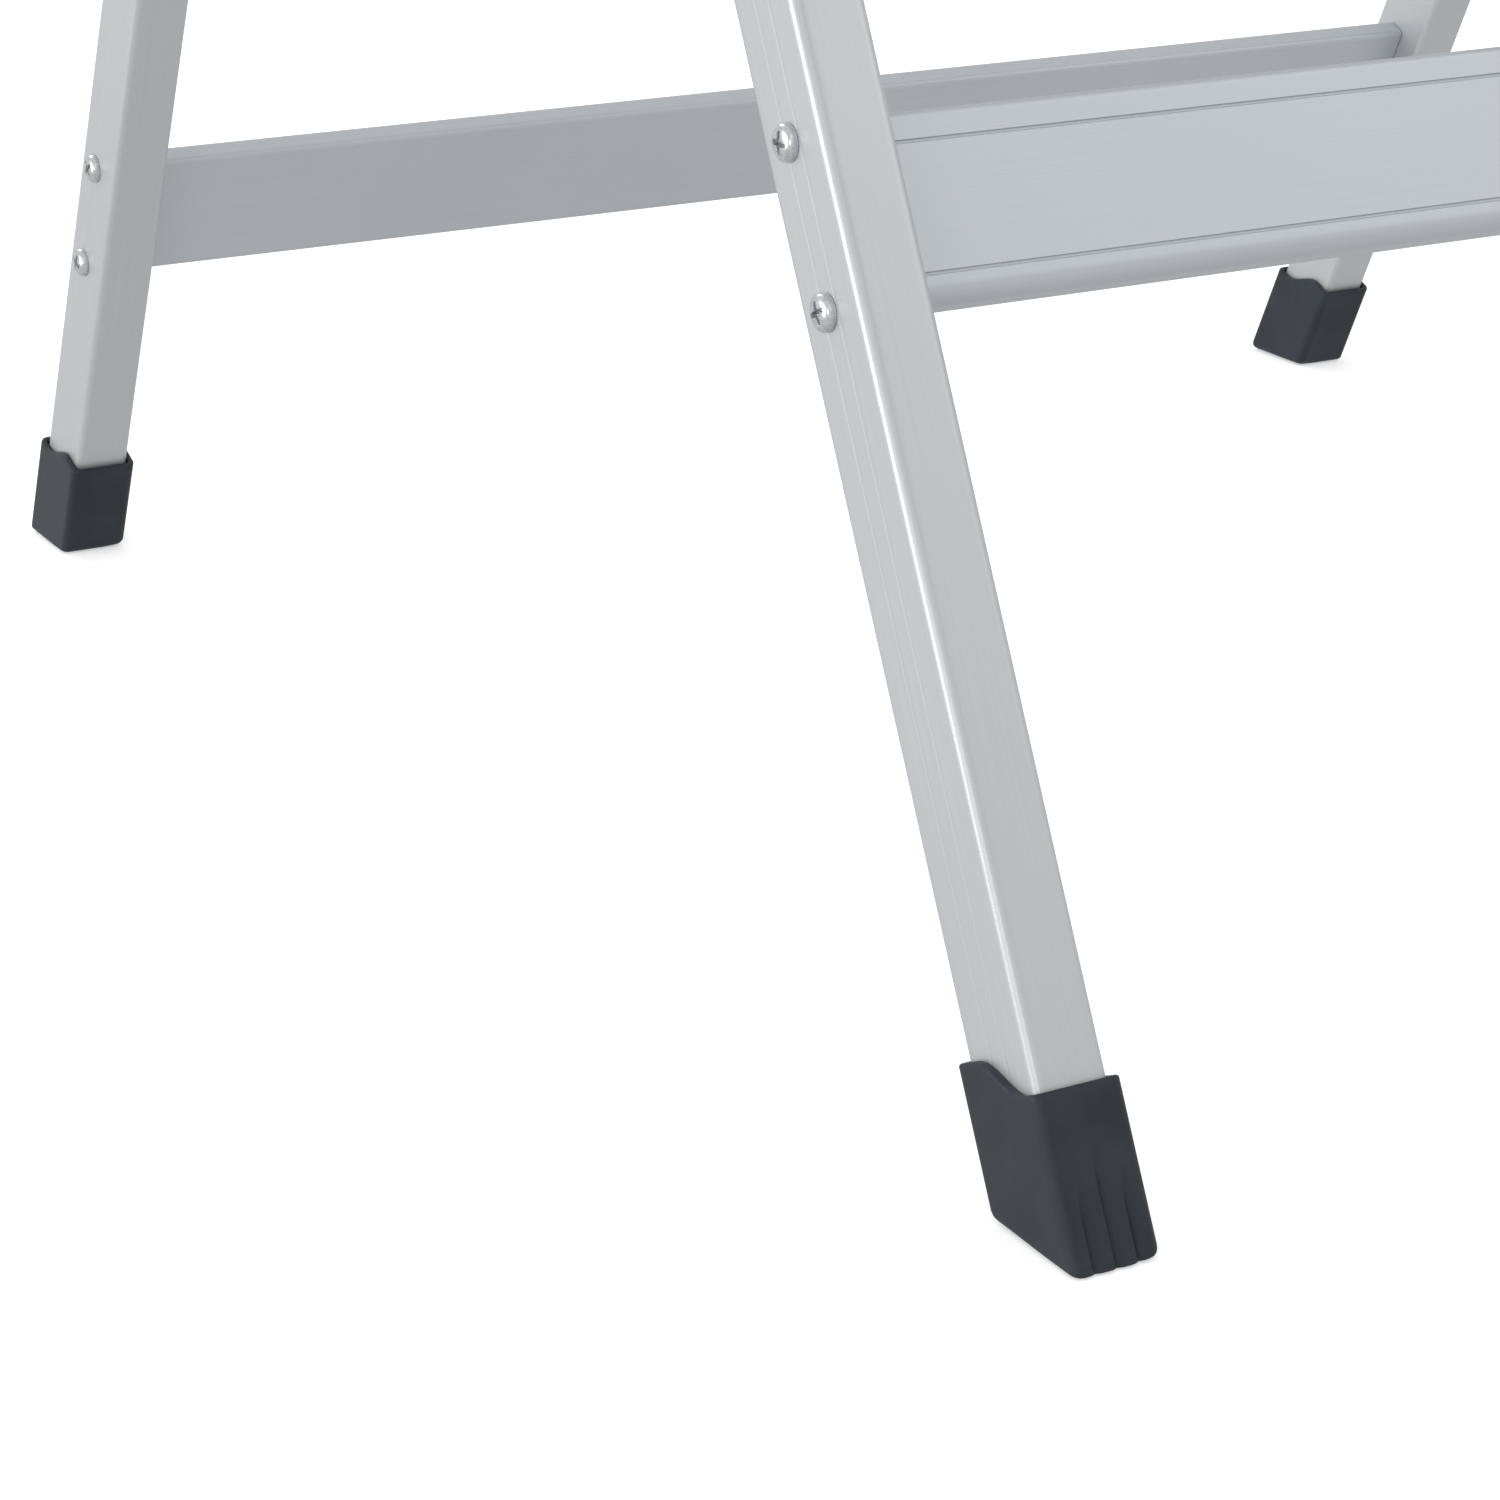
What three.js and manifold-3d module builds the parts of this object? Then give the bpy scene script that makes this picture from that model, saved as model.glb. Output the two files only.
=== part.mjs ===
import * as THREE from "three";
import { mergeVertices } from "three/addons/utils/BufferGeometryUtils.js";
import Module from "manifold-3d";

const wasm = await Module();
wasm.setup();

// All sizes in millimetres. X runs across the ladder, Y from front to rear, Z up.

// Whole frame
const SPAN = 727;
const BASE_DEPTH = 862;
const FRONT_LEAN = THREE.MathUtils.degToRad(25.8);
const REAR_LEAN = THREE.MathUtils.degToRad(25.0);

// Stiles: rectangular tubes
const STILE_WIDTH = 25;
const STILE_DEPTH = 36;
const STILE_WALL = 1.8;
const STILE_CORNER = 3.2;
const REAR_INSET = 0.5;
const FRONT_TOP = 975;
const SOLE = 6;
const FIT = 0.3;

// Cross members: flat box extrusions. A setback runs from the frame's outward face to the centre.
const RUNG_HEIGHT = 59.5;
const BRACE_HEIGHT = 57;
const RUNG_THICK = 16;
const RUNG_SETBACK = 20.5;
const BRACE_THICK = 11;
const BRACE_SETBACK = 15.5;
const MEMBER_CORNER = 2.2;
const RUNG_NOSE = 6;
const MEMBER_WALL = 1.8;
const GROOVE_WIDTH = 1.6;
const GROOVE_DEPTH = 0.9;
const GROOVE_BELOW_TOP = 9.6;
const GROOVE_ABOVE_BASE = 9.4;
const RUNG_LOW = 316.5;
const BRACE_LOW = 190.2;
const RUNG_BELOW_STAY = 63;
const BRACE_BELOW_STAY = 150.8;
const CELL_CORNER = 1.2;
const END_GAP = 0.3;

// Fasteners
const SCREW_MARGIN = 3.8;
const SCREW_HEAD_R = 6;
const SCREW_HEAD_H = 3.6;
const SCREW_SHANK_R = 2.5;
const SCREW_REACH = 14;
const PORT_R = 2.9;
const PORT_PAD = 4.6;
const SCREW_HOLE_PLAY = 0.4;
const HOLE_PLAY = 0.2;
const BOLT_PLAY = 0.1;
const SEAT_GAP = 0.1;
const RIVET_R = 3;
const RIVET_HEAD_R = 5.5;
const RIVET_HEAD_H = 1.6;

// Feet
const FOOT_HEIGHT = 53.5;
const FOOT_WALL = 2.6;
const FOOT_RISE = 12;
const FOOT_CORNER = 3.6;
const RIM_START = 4;
const RIM_END = 28;

// Hinge at the top of the rear frame
const HINGE_GAP = 1.7;
const HINGE_END = 12;
const PLATE_THICK = 2.5;
const PLATE_R = 17;
const PLATE_DROP = 78;
const PLATE_RIVETS = [-64, 14];
const PLATE_ABOVE_STILE = 1.2;
const PLATE_HALF_TOP = 34;
const PLATE_MARGIN = 4;
const FLANGE_REACH = 34;
const FLANGE_SCREW_OUT = 22;
const FLANGE_SCREW_IN = 21;
const BOLT_R = 5;
const BOLT_HEAD_R = 9;
const BOLT_HEAD_H = 5;
const PLUG_FLANGE = 2;
const PLUG_TONGUE = 5;

// Platform
const PLATFORM_DEPTH = 190;
const PLATFORM_THICK = 30;
const PLATFORM_WALL = 2.2;
const PLATFORM_OVERHANG = 8;
const PLATFORM_RIBS = 14;
const RIB_DEPTH = 1.4;
const PLATFORM_CORNER = 6;
const PLATFORM_CELLS = 4;
const CELL_ROUND = 4;
const CAP_THICK = 4;

// Hook stays, one each side
const STAY_DROP = 181.55;
const STAY_WIDTH = 22;
const STAY_THICK = 3;
const STAY_GAP = 8.8;
const COLLAR_R = 4.6;
const STAY_HOOK = 19;
const STAY_SLOT_TILT = THREE.MathUtils.degToRad(27);
const STUD_R = 3;
const STUD_PLAY = 0.6;
const STAY_PLAY = 0.2;

// Derived values
const HALF = SPAN / 2;
const INNER = HALF - STILE_WIDTH;
const SF = Math.sin(FRONT_LEAN);
const CF = Math.cos(FRONT_LEAN);
const SR = Math.sin(REAR_LEAN);
const CR = Math.cos(REAR_LEAN);
const APEX_Z = BASE_DEPTH / (Math.tan(FRONT_LEAN) + Math.tan(REAR_LEAN));
const APEX_Y = APEX_Z * Math.tan(FRONT_LEAN);
const OPEN_ANGLE = FRONT_LEAN + REAR_LEAN;
const TOP_RISE = HINGE_END + SEAT_GAP + PLUG_FLANGE;
const TOP_CORNER = TOP_RISE * Math.sin(OPEN_ANGLE) + (STILE_DEPTH / 2) * Math.cos(OPEN_ANGLE);
const HINGE_SETBACK = STILE_DEPTH + TOP_CORNER + HINGE_GAP;
const HINGE = hingePoint();
const HINGE_S = HINGE.y * SF + HINGE.z * CF;
const REAR_TOP = HINGE.rearS + HINGE_END;
const STAY_Z = HINGE.z - STAY_DROP;
const RUNG_CENTRES = [RUNG_LOW, stayPivot(true).along - RUNG_BELOW_STAY];
const BRACE_CENTRES = [BRACE_LOW, stayPivot(false).along - BRACE_BELOW_STAY];
const PLATE_TOP_Z = FRONT_TOP * CF + PLATE_ABOVE_STILE;
const PLATFORM_Z = PLATE_TOP_Z + FIT;
const PLATFORM_Y = FRONT_TOP * SF + 0.6 * STILE_DEPTH;

const alloy = finish(0xc5c7ca, 0.38, 0.85);
const treadAlloy = finish(0xbdbfc3, 0.45, 0.8);
const slate = finish(0x3c4449, 0.7, 0);
const zinc = finish(0xcfd2d4, 0.3, 0.95);

function finish(color, roughness, metalness) {
  return new THREE.MeshStandardMaterial({ color, roughness, metalness });
}

// The hinge axis lies HINGE_SETBACK behind the front plane and half a stile inside the rear plane.
// The setback leaves HINGE_GAP between a rear stile's top corner and the front stile's back.
function hingePoint() {
  const spread = Math.sin(OPEN_ANGLE);
  const rearSetback = STILE_DEPTH / 2;
  const drop = (HINGE_SETBACK * CR + rearSetback * CF) / spread;
  const shift = (HINGE_SETBACK * SR - rearSetback * SF) / spread;
  const y = APEX_Y + shift;
  const z = APEX_Z - drop;
  return { y, z, rearS: (BASE_DEPTH - y) * SR + z * CR };
}

// A point given by its depth behind the front plane and its distance up the front stile.
function onFront(depth, along) {
  return new THREE.Vector2(along * SF + depth * CF, along * CF - depth * SF);
}

function solid(geometry) {
  geometry.deleteAttribute("normal");
  geometry.deleteAttribute("uv");
  const merged = mergeVertices(geometry, 1e-4);
  return new wasm.Manifold(
    new wasm.Mesh({
      numProp: 3,
      vertProperties: new Float32Array(merged.attributes.position.array),
      triVerts: new Uint32Array(merged.index.array),
    }),
  );
}

function surface(body) {
  const mesh = body.getMesh();
  const geometry = new THREE.BufferGeometry();
  geometry.setAttribute("position", new THREE.BufferAttribute(mesh.vertProperties, 3));
  geometry.setIndex(new THREE.BufferAttribute(mesh.triVerts, 1));
  const flat = geometry.toNonIndexed();
  flat.computeVertexNormals();
  return flat;
}

function roundedRect(path, x0, y0, x1, y1, r) {
  path.moveTo(x0 + r, y0);
  path.lineTo(x1 - r, y0);
  path.absarc(x1 - r, y0 + r, r, -Math.PI / 2, 0, false);
  path.lineTo(x1, y1 - r);
  path.absarc(x1 - r, y1 - r, r, 0, Math.PI / 2, false);
  path.lineTo(x0 + r, y1);
  path.absarc(x0 + r, y1 - r, r, Math.PI / 2, Math.PI, false);
  path.lineTo(x0, y0 + r);
  path.absarc(x0 + r, y0 + r, r, Math.PI, 1.5 * Math.PI, false);
  return path;
}

function prism(shape, length, segments = 4) {
  return new THREE.ExtrudeGeometry(shape, {
    depth: length,
    bevelEnabled: false,
    curveSegments: segments,
  });
}

// Shape x becomes Y, shape y becomes Z, and the length runs along X, centred on x.
function acrossX(geometry, length, x = 0) {
  const turn = new THREE.Matrix4().makeBasis(
    new THREE.Vector3(0, 1, 0),
    new THREE.Vector3(0, 0, 1),
    new THREE.Vector3(1, 0, 0),
  );
  geometry.applyMatrix4(turn);
  geometry.translate(x - length / 2, 0, 0);
  return geometry;
}

function box(x0, x1, y0, y1, z0, z1) {
  const geometry = new THREE.BoxGeometry(x1 - x0, y1 - y0, z1 - z0);
  geometry.translate((x0 + x1) / 2, (y0 + y1) / 2, (z0 + z1) / 2);
  return geometry;
}

// A turned piece about the X axis. Profile entries are [x, radius], listed towards +X.
function turned(profile, side, y, z, segments = 16) {
  const points = profile.map(([x, r]) => new THREE.Vector2(r, x));
  const geometry = new THREE.LatheGeometry(points, segments);
  geometry.rotateZ(-Math.PI / 2);
  if (side < 0) {
    geometry.rotateZ(Math.PI);
  }
  geometry.translate(0, y, z);
  return geometry;
}

function drill(body, radius, x0, x1, y, z) {
  const profile = [
    [x0, 0],
    [x0, radius],
    [x1, radius],
    [x1, 0],
  ];
  const points = profile.map(([x, r]) => new THREE.Vector2(r, x));
  const geometry = new THREE.LatheGeometry(points, 20);
  geometry.rotateZ(-Math.PI / 2);
  geometry.translate(0, y, z);
  return body.subtract(solid(geometry));
}

function piece(group, name, geometry, material) {
  const mesh = new THREE.Mesh(geometry, material);
  mesh.name = name;
  group.add(mesh);
}

// Screw heights, up the stile, of one cross member.
function screwHeights(centre, height) {
  const reach = height / 2 - SCREW_MARGIN;
  return [centre + reach, centre - reach];
}

// One stile: a tube from x0 to x1 and y0 to y0 + STILE_DEPTH, with drilled holes.
function stile(x0, x1, y0, lean, top, holes) {
  const start = tubeStart(lean);
  const shape = roundedRect(new THREE.Shape(), x0, y0, x1, y0 + STILE_DEPTH, STILE_CORNER);
  const bore = roundedRect(
    new THREE.Path(),
    x0 + STILE_WALL,
    y0 + STILE_WALL,
    x1 - STILE_WALL,
    y0 + STILE_DEPTH - STILE_WALL,
    STILE_CORNER - STILE_WALL,
  );
  shape.holes.push(bore);
  const geometry = prism(shape, top - start);
  geometry.translate(0, 0, start);
  let body = solid(geometry);
  for (const [radius, y, z] of holes) {
    body = drill(body, radius, x0 - 1, x1 + 1, y, z);
  }
  return surface(body);
}

// The outer edge of a cross member. A rung has a wide nose at its lower front edge and two grooves.
function memberOutline(y0, z0, y1, z1, rung) {
  const r = MEMBER_CORNER;
  const nose = rung ? RUNG_NOSE : r;
  const shape = new THREE.Shape();
  shape.moveTo(y0 + nose, z0);
  shape.lineTo(y1 - r, z0);
  shape.absarc(y1 - r, z0 + r, r, -Math.PI / 2, 0, false);
  shape.lineTo(y1, z1 - r);
  shape.absarc(y1 - r, z1 - r, r, 0, Math.PI / 2, false);
  shape.lineTo(y0 + r, z1);
  shape.absarc(y0 + r, z1 - r, r, Math.PI / 2, Math.PI, false);
  if (rung) {
    for (const z of [z1 - GROOVE_BELOW_TOP, z0 + GROOVE_ABOVE_BASE]) {
      shape.lineTo(y0, z + GROOVE_WIDTH / 2);
      shape.lineTo(y0 + GROOVE_DEPTH, z + GROOVE_WIDTH / 4);
      shape.lineTo(y0 + GROOVE_DEPTH, z - GROOVE_WIDTH / 4);
      shape.lineTo(y0, z - GROOVE_WIDTH / 2);
    }
  }
  shape.lineTo(y0, z0 + nose);
  shape.absarc(y0 + nose, z0 + nose, nose, Math.PI, 1.5 * Math.PI, false);
  return shape;
}

// A hollow cross member with a screw port at each screw height.
function crossMember(yMid, centre, height, half, rung) {
  const thick = rung ? RUNG_THICK : BRACE_THICK;
  const y0 = yMid - thick / 2;
  const y1 = yMid + thick / 2;
  const z0 = centre - height / 2;
  const z1 = centre + height / 2;
  const shape = memberOutline(y0, z0, y1, z1, rung);
  const [high, low] = screwHeights(centre, height);
  for (const z of [high, low]) {
    const port = new THREE.Path();
    port.absarc(yMid, z, PORT_R, 0, 2 * Math.PI, false);
    shape.holes.push(port);
  }
  const cell = new THREE.Path();
  const inset = MEMBER_WALL + GROOVE_DEPTH;
  roundedRect(cell, y0 + inset, low + PORT_PAD, y1 - inset, high - PORT_PAD, CELL_CORNER);
  shape.holes.push(cell);
  return acrossX(prism(shape, 2 * half, 5), 2 * half);
}

function screw(side, half, y, z) {
  const base = half + SEAT_GAP;
  const profile = [
    [base - STILE_WIDTH - SCREW_REACH, 0],
    [base - STILE_WIDTH - SCREW_REACH + 2, SCREW_SHANK_R],
    [base, SCREW_SHANK_R],
    [base, SCREW_HEAD_R],
    [base + 0.45 * SCREW_HEAD_H, SCREW_HEAD_R],
    [base + 0.85 * SCREW_HEAD_H, 0.72 * SCREW_HEAD_R],
    [base + SCREW_HEAD_H, 0.3 * SCREW_HEAD_R],
    [base + SCREW_HEAD_H, 0],
  ];
  return turned(profile, side, y, z);
}

// A rivet through everything between two planes, a head on each side.
function rivet(side, x0, x1, y, z, radius, headR, headH) {
  const profile = [
    [x0 - headH, 0],
    [x0 - headH, 0.6 * headR],
    [x0 - SEAT_GAP, headR],
    [x0 - SEAT_GAP, radius],
    [x1 + SEAT_GAP, radius],
    [x1 + SEAT_GAP, headR],
    [x1 + headH, 0.6 * headR],
    [x1 + headH, 0],
  ];
  return turned(profile, side, y, z);
}

// A stay's pin: a head inside the stay, a collar from the stay to the stile, and a head outside it.
function collared(side, face, stileInner, stileOuter, y) {
  const back = face + STAY_THICK;
  const profile = [
    [face - RIVET_HEAD_H, 0],
    [face - RIVET_HEAD_H, 0.6 * RIVET_HEAD_R],
    [face - STAY_PLAY, RIVET_HEAD_R],
    [face - STAY_PLAY, STUD_R],
    [back + STAY_PLAY, STUD_R],
    [back + STAY_PLAY, COLLAR_R],
    [stileInner - SEAT_GAP, COLLAR_R],
    [stileInner - SEAT_GAP, STUD_R],
    [stileOuter + SEAT_GAP, STUD_R],
    [stileOuter + SEAT_GAP, RIVET_HEAD_R],
    [stileOuter + RIVET_HEAD_H, 0.6 * RIVET_HEAD_R],
    [stileOuter + RIVET_HEAD_H, 0],
  ];
  return turned(profile, side, y, STAY_Z);
}

// One foot: a boot around the stile's end, cut level at the floor. Its rim is lower on the outward
// face of its frame and higher on the face towards the other frame.
function foot(x0, x1, y0, lean) {
  const wall = FIT + FOOT_WALL;
  const outer = roundedRect(
    new THREE.Shape(),
    x0 - wall,
    y0 - wall,
    x1 + wall,
    y0 + STILE_DEPTH + wall,
    FOOT_CORNER,
  );
  const below = 40;
  const long = prism(outer, FOOT_HEIGHT + 1.5 * FOOT_RISE + below, 5);
  long.translate(0, 0, -below);
  const cavity = roundedRect(
    new THREE.Shape(),
    x0 - FIT,
    y0 - FIT,
    x1 + FIT,
    y0 + STILE_DEPTH + FIT,
    STILE_CORNER,
  );
  const hollow = prism(cavity, FOOT_HEIGHT + 2 * FOOT_RISE, 5);
  hollow.translate(0, 0, tubeStart(lean) - FIT);
  const ground = box(x0 - 40, x1 + 40, -200, 200, -200, 0);
  ground.applyMatrix4(new THREE.Matrix4().makeRotationX(lean));
  let body = solid(long).subtract(solid(hollow)).subtract(solid(ground));
  body = body.subtract(solid(rimCut(x0, x1, y0, lean > 0)));
  return surface(body);
}

// The wedge above a foot's rim. From the outward face the rim runs flat, steps up in an S between
// RIM_START and RIM_END, and runs flat again.
function rimCut(x0, x1, y0, outwardAtY0) {
  const reach = STILE_DEPTH + 2 * FOOT_WALL + 4;
  const top = FOOT_HEIGHT + 2 * FOOT_RISE;
  const across = (depth) => (outwardAtY0 ? y0 + depth : y0 + STILE_DEPTH - depth);
  const shape = new THREE.Shape();
  shape.moveTo(across(-reach), top);
  shape.lineTo(across(-reach), FOOT_HEIGHT);
  const steps = 12;
  for (let i = 0; i <= steps; i += 1) {
    const t = i / steps;
    const rise = FOOT_RISE * (0.5 - 0.5 * Math.cos(Math.PI * t));
    shape.lineTo(across(RIM_START + (RIM_END - RIM_START) * t), FOOT_HEIGHT + rise);
  }
  shape.lineTo(across(reach), FOOT_HEIGHT + FOOT_RISE);
  shape.lineTo(across(reach), top);
  const length = x1 - x0 + 30;
  return acrossX(prism(shape, length), length, (x0 + x1) / 2);
}

// Where a stile's square-cut end starts, so that the sole is whole under its lowest corner.
function tubeStart(lean) {
  return STILE_DEPTH * Math.tan(Math.abs(lean)) + SOLE;
}

function sides() {
  return [
    ["left", -1],
    ["right", 1],
  ];
}

// Stile limits in X on one side, for a frame whose stiles sit `inset` inside the full span.
function stileLimits(side, inset) {
  const a = side * (INNER + inset);
  const b = side * (HALF - inset);
  return [Math.min(a, b), Math.max(a, b)];
}

// Where the stay's pin crosses a stile: how far up the stile, and how far back.
function stayPivot(front) {
  const mid = STILE_DEPTH / 2;
  if (front) {
    const along = (STAY_Z + mid * SF) / CF;
    return { along, y: along * SF + mid * CF };
  }
  const along = (STAY_Z + mid * SR) / CR;
  return { along, y: BASE_DEPTH - along * SR - mid * CR };
}

function frontFrame() {
  const group = new THREE.Group();
  group.rotation.x = -FRONT_LEAN;
  const mid = STILE_DEPTH / 2;
  const screwHoles = RUNG_CENTRES.flatMap((c) => screwHeights(c, RUNG_HEIGHT));
  const rivetHoles = PLATE_RIVETS.map((z) => HINGE_S + z);
  const holes = [
    ...screwHoles.map((z) => [SCREW_SHANK_R + SCREW_HOLE_PLAY, RUNG_SETBACK, z]),
    ...rivetHoles.map((z) => [RIVET_R + HOLE_PLAY, mid, z]),
    [STUD_R + HOLE_PLAY, mid, stayPivot(true).along],
  ];
  for (const [label, side] of sides()) {
    const [x0, x1] = stileLimits(side, 0);
    piece(group, `stile_front_${label}`, stile(x0, x1, 0, FRONT_LEAN, FRONT_TOP, holes), alloy);
    piece(group, `foot_front_${label}`, foot(x0, x1, 0, FRONT_LEAN), slate);
    screwHoles.forEach((z, i) => {
      piece(group, `screw_front_${label}_${i + 1}`, screw(side, HALF, RUNG_SETBACK, z), zinc);
    });
    rivetHoles.forEach((z, i) => {
      const low = INNER - FIT - PLATE_THICK;
      const high = HALF + FIT + PLATE_THICK;
      const body = rivet(side, low, high, mid, z, RIVET_R, RIVET_HEAD_R, RIVET_HEAD_H);
      piece(group, `plate_rivet_${label}_${i + 1}`, body, zinc);
    });
  }
  const labels = ["lower", "upper"];
  RUNG_CENTRES.forEach((centre, i) => {
    const body = crossMember(RUNG_SETBACK, centre, RUNG_HEIGHT, INNER - END_GAP, true);
    piece(group, `rung_${labels[i]}`, body, treadAlloy);
  });
  return group;
}

function rearFrame() {
  const group = new THREE.Group();
  group.rotation.x = REAR_LEAN;
  group.position.y = BASE_DEPTH;
  const mid = -STILE_DEPTH / 2;
  const screwHoles = BRACE_CENTRES.flatMap((c) => screwHeights(c, BRACE_HEIGHT));
  const holes = [
    ...screwHoles.map((z) => [SCREW_SHANK_R + SCREW_HOLE_PLAY, -BRACE_SETBACK, z]),
    [STUD_R + HOLE_PLAY, mid, stayPivot(false).along],
    [BOLT_R + BOLT_PLAY, mid, HINGE.rearS],
  ];
  for (const [label, side] of sides()) {
    const [x0, x1] = stileLimits(side, REAR_INSET);
    const body = stile(x0, x1, -STILE_DEPTH, REAR_LEAN, REAR_TOP, holes);
    piece(group, `stile_rear_${label}`, body, alloy);
    piece(group, `foot_rear_${label}`, foot(x0, x1, -STILE_DEPTH, -REAR_LEAN), slate);
    piece(group, `plug_rear_${label}`, plug(x0, x1), slate);
    screwHoles.forEach((z, i) => {
      const fastener = screw(side, HALF - REAR_INSET, -BRACE_SETBACK, z);
      piece(group, `screw_rear_${label}_${i + 1}`, fastener, zinc);
    });
  }
  const labels = ["lower", "upper"];
  BRACE_CENTRES.forEach((centre, i) => {
    const half = INNER + REAR_INSET - END_GAP;
    const body = crossMember(-BRACE_SETBACK, centre, BRACE_HEIGHT, half, false);
    piece(group, `brace_${labels[i]}`, body, treadAlloy);
  });
  return group;
}

// A moulded plug in a rear stile's open top: a flange over the end and a short tongue inside it.
function plug(x0, x1) {
  const y0 = -STILE_DEPTH;
  const flange = roundedRect(new THREE.Shape(), x0, y0, x1, 0, STILE_CORNER);
  const top = prism(flange, PLUG_FLANGE, 4);
  top.translate(0, 0, REAR_TOP + SEAT_GAP);
  const gap = STILE_WALL + FIT;
  const inside = roundedRect(new THREE.Shape(), x0 + gap, y0 + gap, x1 - gap, -gap, STILE_CORNER - FIT);
  const tongue = prism(inside, PLUG_TONGUE + 1, 4);
  tongue.translate(0, 0, REAR_TOP - PLUG_TONGUE);
  return surface(solid(top).add(solid(tongue)));
}

// Hinge plates, platform and bolts, built level.
function topAssembly() {
  const group = new THREE.Group();
  const lift = PLATFORM_OVERHANG + FIT + PLATE_THICK + BOLT_HEAD_H;
  const half = HALF + lift;
  for (const [label, side] of sides()) {
    const inner = side * (INNER - FIT - PLATE_THICK / 2);
    const outer = side * (HALF + FIT + PLATE_THICK / 2);
    piece(group, `hinge_plate_inner_${label}`, innerPlate(side, inner), alloy);
    piece(group, `hinge_plate_outer_${label}`, plate(outer), alloy);
    const low = INNER - FIT - PLATE_THICK;
    const high = HALF + FIT + PLATE_THICK;
    const bolt = rivet(side, low, high, HINGE.y, HINGE.z, BOLT_R, BOLT_HEAD_R, BOLT_HEAD_H);
    piece(group, `hinge_bolt_${label}`, bolt, zinc);
    flangeScrewYs().forEach((y, i) => {
      piece(group, `platform_screw_${label}_${i + 1}`, flangeScrew(side, y), zinc);
    });
    piece(group, `platform_cap_${label}`, platformCap(side, half), slate);
  }
  piece(group, "platform", platform(half), treadAlloy);
  return group;
}

function flangeScrewYs() {
  return [PLATFORM_Y - FLANGE_SCREW_OUT, PLATFORM_Y + FLANGE_SCREW_OUT];
}

function plateShape() {
  const low = HINGE_S - PLATE_DROP;
  const hinge = new THREE.Vector2(HINGE.y, HINGE.z);
  const shape = new THREE.Shape();
  const a = onFront(PLATE_MARGIN, low);
  const b = onFront(STILE_DEPTH - PLATE_MARGIN, low);
  shape.moveTo(a.x, a.y);
  shape.lineTo(b.x, b.y);
  const steps = 12;
  for (let i = 0; i <= steps; i += 1) {
    const angle = -1.0 + (2.2 * i) / steps;
    shape.lineTo(hinge.x + PLATE_R * Math.cos(angle), hinge.y + PLATE_R * Math.sin(angle));
  }
  shape.lineTo(PLATFORM_Y + PLATE_HALF_TOP, PLATE_TOP_Z);
  shape.lineTo(PLATFORM_Y - PLATE_HALF_TOP, PLATE_TOP_Z);
  return shape;
}

function plateSolid(x) {
  let body = solid(acrossX(prism(plateShape(), PLATE_THICK), PLATE_THICK, x));
  const mid = STILE_DEPTH / 2;
  for (const offset of PLATE_RIVETS) {
    const at = onFront(mid, HINGE_S + offset);
    body = drill(body, RIVET_R + HOLE_PLAY, x - PLATE_THICK, x + PLATE_THICK, at.x, at.y);
  }
  return drill(body, BOLT_R + BOLT_PLAY, x - PLATE_THICK, x + PLATE_THICK, HINGE.y, HINGE.z);
}

function plate(x) {
  return surface(plateSolid(x));
}

function innerPlate(side, x) {
  const edge = side * (INNER - FIT);
  const tip = side * (INNER - FIT - FLANGE_REACH);
  const flange = box(
    Math.min(edge, tip),
    Math.max(edge, tip),
    PLATFORM_Y - PLATE_HALF_TOP,
    PLATFORM_Y + PLATE_HALF_TOP,
    PLATE_TOP_Z - PLATE_THICK,
    PLATE_TOP_Z,
  );
  let body = plateSolid(x).add(solid(flange));
  for (const y of flangeScrewYs()) {
    const radius = SCREW_SHANK_R + SCREW_HOLE_PLAY;
    const hole = new THREE.CylinderGeometry(radius, radius, 4 * PLATE_THICK, 16);
    hole.rotateX(Math.PI / 2);
    hole.translate(flangeScrewX(side), y, PLATE_TOP_Z);
    body = body.subtract(solid(hole));
  }
  return surface(body);
}

function flangeScrewX(side) {
  return side * (INNER - FIT - FLANGE_SCREW_IN);
}

function flangeScrew(side, y) {
  const base = PLATE_TOP_Z - PLATE_THICK - SEAT_GAP;
  const points = [
    [0, base - SCREW_HEAD_H],
    [0.3 * SCREW_HEAD_R, base - SCREW_HEAD_H],
    [0.72 * SCREW_HEAD_R, base - 0.85 * SCREW_HEAD_H],
    [SCREW_HEAD_R, base - 0.45 * SCREW_HEAD_H],
    [SCREW_HEAD_R, base],
    [SCREW_SHANK_R, base],
    [SCREW_SHANK_R, PLATFORM_Z + PLATFORM_WALL + 4],
    [0, PLATFORM_Z + PLATFORM_WALL + 4],
  ];
  const geometry = new THREE.LatheGeometry(points.map(([r, z]) => new THREE.Vector2(r, z)), 16);
  geometry.rotateX(Math.PI / 2);
  geometry.translate(flangeScrewX(side), y, 0);
  return geometry;
}

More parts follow.
